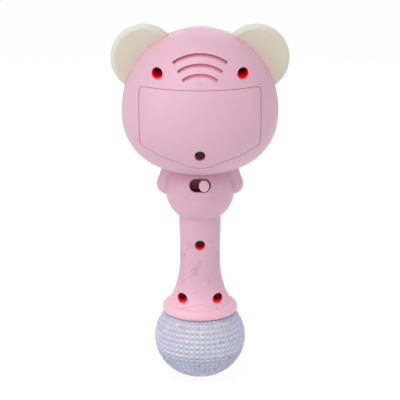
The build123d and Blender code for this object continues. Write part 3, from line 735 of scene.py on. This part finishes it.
# %% Notes drawn flat
def sized(points, size):
    return [(x * size, z * size) for x, z in points]


def single_note(bm, size=1.0):
    bead(bm, 0.5 * size, -1.6 * size, 1.6 * size, 1.25 * size, turn=20)
    stroke(bm, sized([(-0.9, -1.4), (-0.9, 0.4), (-1.0, 2.2)], size), 0.7 * size)
    stroke(bm, sized([(-1.0, 2.1), (-1.8, 1.5), (-2.3, 0.6)], size), 0.75 * size)


def beamed_notes(bm, size=1.0):
    for x in (-1.5, 1.7):
        bead(bm, (x + 0.5) * size, -1.7 * size, 1.05 * size, 0.85 * size, high=0.5, turn=20)
        stroke(bm, [(x * size - 0.3, -1.6 * size), (x * size - 0.3, 1.4 * size)], 0.6 * size)
    stroke(bm, sized([(-1.9, 1.1), (0, 1.35), (1.5, 1.6)], size), 0.9 * size)


def clef(bm):
    """A swirl with a tail, in the manner of a treble clef."""
    swirl = []
    for step in range(15):
        angle = radians(-60 - 42 * step)
        reach = 0.75 + 0.145 * step
        swirl.append((reach * cos(angle), reach * sin(angle)))
    tail = [(-1.2, 2.5), (-2.9, 3.9), (-3.9, 5.6), (-3.4, 6.7), (-2.5, 6.1), (-2.3, 4.6), (-2.0, 3.2)]
    stroke(bm, swirl + tail, 0.8, high=0.6)


def dot(bm, size=1.0):
    bead(bm, 0, 0, size, high=0.55)


def swell(bm, size=1.0):
    """A low oval, where a note's foot melts into the wall."""
    bead(bm, 0, 0, 1.7 * size, 1.0 * size, high=0.4, turn=25)


print("shapes:", [draw.__name__ for draw in (single_note, beamed_notes, clef, dot, swell)])


# %% Notes on the handle
def note_at(name, draw, x_at, z_at, front=1, **size):
    bm = bmesh.new()
    draw(bm, **size)
    lay_around(bm, x_at, z_at - origin_height, front)
    relief_piece(name, bm)


# Each mark: its name, its drawing, x, the height above the table, and its size.
handle_marks = [
    ("beamed_note", beamed_notes, 6.3, 82.6, {}),
    ("side_swell", swell, -5.6, 83.2, {}),
    ("high_dot", dot, -2.2, 75.4, {"size": 0.75}),
    ("clef", clef, 3.7, 68.0, {}),
    ("low_swell", swell, 8.0, 64.2, {"size": 1.1}),
    ("note", single_note, -3.4, 62.3, {"size": 1.05}),
    ("low_dot", dot, 3.6, 56.9, {"size": 1.1}),
    ("foot_dot", dot, -4.4, 56.4, {"size": 0.6}),
]
for name, draw, x_at, z_at, size in handle_marks:
    for face, front in (("back", 1), ("front", -1)):
        note_at(f"{name}_{face}", draw, x_at * front, z_at, front, **size)
edge_marks = [
    ("edge_dot_high", dot, 10.4, 88.0, {"size": 1.0}),
    ("edge_note_high", beamed_notes, 10.2, 76.0, {}),
    ("edge_dot", dot, 10.6, 69.0, {"size": 1.1}),
    ("edge_note", single_note, 10.9, 61.0, {}),
]
for name, draw, x_at, z_at, size in edge_marks:
    for face, front in (("back", 1), ("front", -1)):
        for hand, side in (("left", 1), ("right", -1)):
            note_at(f"{name}_{face}_{hand}", draw, x_at * side, z_at, front, **size)
print("notes and dots:", 2 * len(handle_marks) + 4 * len(edge_marks))

# %% [markdown]
# ### Mould marks, volume signs and the flange's ridge
# A mould leaves small rings where its ejector pins push, and the maker adds three little signs
# below the volume switch, off, low and loud. They are ribs about a quarter of a millimetre high,
# drawn and laid down like the notes, but straight along Y, because their walls hardly curve.

# %% Mould marks
def arc(x, z, radius, start, stop, step):
    """Points on part of a circle, in x and z."""
    angles = [radians(a) for a in range(start, stop, step)]
    return [(x + radius * cos(a), z + radius * sin(a)) for a in angles]


def ring(bm, x, z, radius, width=0.36, high=0.26):
    stroke(bm, arc(x, z, radius, 0, 360, 30), width, high, closed=True)


def flat_piece(name, draw, tree=shells, front=1, body="housing", finish="pink_relief"):
    bm = bmesh.new()
    draw(bm)
    lay_flat(bm, tree, front)
    relief_piece(name, bm, body, finish)


flat_piece("head_mould_mark", lambda bm: ring(bm, 0.5, 182.2 - origin_height, 1.0))
flat_piece("handle_mould_mark", lambda bm: ring(bm, 0.4, 94.9 - origin_height, 0.95))


# %% Volume signs
def volume_sign(bm, x, waves):
    """A small loudspeaker, crossed out or with one or two waves."""
    z = 113.6 - origin_height
    stroke(bm, [(x + 1.5, z - 0.35), (x + 1.5, z + 0.35)], 0.5, 0.34)
    stroke(bm, [(x + 1.3, z), (x + 0.5, z - 0.85), (x + 0.5, z + 0.85), (x + 1.3, z)], 0.4, 0.34)
    for wave in range(waves):
        bow = [(x + 0.4 - dx, dz) for dx, dz in arc(0, z, 0.75 + 0.75 * wave, -50, 51, 25)]
        stroke(bm, bow, 0.34, 0.3)
    if not waves:
        stroke(bm, [(x - 0.4, z - 0.6), (x - 1.3, z + 0.6)], 0.34, 0.3)
        stroke(bm, [(x - 0.4, z + 0.6), (x - 1.3, z - 0.6)], 0.34, 0.3)


for count, x in enumerate((7.9, 0.6, -6.9)):
    flat_piece(f"volume_sign_{count}", lambda bm: volume_sign(bm, x, count))

# %% Cover mark and flange ridge
cover_wall = wall_of("battery_cover")
mark_high, mark_low = (15.8, 150.2 - origin_height), (8.2, 145.3 - origin_height)
flat_piece("cover_mark", lambda bm: stroke(bm, [mark_high, mark_low], 0.4, 0.16), cover_wall,
           body="cover")


def flange_ridge(bm):
    """A low brow, highest in the middle, over the flange."""
    half = [(3.2, -0.9), (6.5, -2.1), (9.2, -3.6)]
    brow = [(-x, z) for x, z in reversed(half)] + [(0, -0.5)] + half
    stroke(bm, brow, 1.5, 0.5)


note_at("flange_ridge", flange_ridge, 0, 51.0)

# %% [markdown]
# ## Face
# The front is plainly a bear: two glossy eyes, a cream muzzle and a dark nose, which are CAD
# parts. The mouth, the rosy cheeks, the pale inner ears and the note on the music button are
# printed or raised by a hair on such toys, so they are laid on the walls in the same way as the
# handle's notes, each in its own tint.

# %% Face tints
finishes["blush"] = grained("blush_print", (0.72, 0.25, 0.33), 0.5, 0.05, 140)
finishes["inner_ear"] = grained("inner_ear_pink", (0.70, 0.42, 0.47), 0.48, 0.04, 160)
finishes["mouth_line"] = grained("mouth_brown", (0.10, 0.035, 0.03), 0.4, 0.15, 300)
# Painted highlight: a white dot on each eye stands for a reflected light.
finishes["eye_glint"] = grained("eye_glint_white", (0.85, 0.85, 0.86), 0.3, 0.02, 200)
print("finishes now:", len(finishes))

# %% Mouth
muzzle_wall = wall_of("muzzle")
mouth_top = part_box("nose")[0].z / mm - 0.3


def mouth(bm):
    """A short line down from the nose, and a curl to each side."""
    stroke(bm, [(0, mouth_top), (0, mouth_top - 1.6), (0, mouth_top - 2.8)], 0.6, 0.3)
    for side in (-1, 1):
        curl = [(0, 2.6), (1.6, 4.4), (3.8, 3.9), (4.9, 2.2)]
        stroke(bm, [(side * x, mouth_top - down) for x, down in curl], 0.6, 0.3)


flat_piece("mouth", mouth, muzzle_wall, -1, finish="mouth_line")
print("mouth starts at", round(mouth_top, 1), "mm")

# %% Cheeks and inner ears
hands = (("left", 1), ("right", -1))
eye_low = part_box("eye_left")[0] / mm
for hand, side in hands:
    cheek = (side * (eye_low.x + 12.6), eye_low.z - 13.2)
    flat_piece(f"cheek_{hand}", lambda bm: bead(bm, *cheek, 5.2, 4.0, high=0.3), front=-1,
               finish="blush")
    ear_wall = wall_of(f"ear_{hand}")
    spot = (side * (ear_middle.x + 2.6), ear_middle.z + 2.0)
    flat_piece(f"inner_ear_{hand}", lambda bm: bead(bm, *spot, 9.5, 9.5, high=0.5), ear_wall, -1,
               finish="inner_ear")
print("cheeks and inner ears:", 2 * len(hands))

# %% Eye glints, painted highlights
eye_wall = wall_of("eye_left", "eye_right")
for hand, side in hands:
    # Painted highlight: the dot sits off to the same side on both eyes.
    glint = (side * (eye_low.x + 3.9) + 1.2, eye_low.z + 5.6)
    flat_piece(f"eye_glint_{hand}", lambda bm: bead(bm, *glint, 0.95, high=0.16), eye_wall, -1,
               finish="eye_glint")
print("eye glints:", len(hands))

# %% Note on the button
button_wall = wall_of("music_button")


def button_note(bm):
    beamed_notes(bm, 1.15)
    bmesh.ops.translate(bm, vec=(0.2, 0, torso_middle), verts=bm.verts)


flat_piece("button_note", button_note, button_wall, -1, body="button")

# %% [markdown]
# ## Floor
# The toy stands on a pale table, wide enough to fill the view behind it. One square is all it
# needs. Its finish is a dull grey that glows white, so that it stays pale and still takes a
# faint contact shadow.

# %% Table
table_half = 9  # metres
table_bm = bmesh.new()
bmesh.ops.create_grid(table_bm, x_segments=1, y_segments=1, size=table_half)
bmesh.ops.translate(table_bm, vec=(0, 0, cad_box[0].z), verts=table_bm.verts)
table_mesh = bpy.data.meshes.new("table")
table_bm.to_mesh(table_mesh)
table_bm.free()
table = bpy.data.objects.new("table", table_mesh)
bpy.context.collection.objects.link(table)
table_finish = grained("table_acrylic", (0.13, 0.13, 0.13), 0.7, 0.01, 4)
table_shader = table_finish.node_tree.nodes["Principled BSDF"]
table_shader.inputs["Emission Color"].default_value = (1, 1, 1, 1)
table_shader.inputs["Specular IOR Level"].default_value = 0.0
table_shader.inputs["Emission Strength"].default_value = 0.9
table_mesh.materials.append(table_finish)
print("table at", round(cad_box[0].z / mm, 2), "mm")

# %% [markdown]
# The finished toy has to stay inside the box of its CAD model.
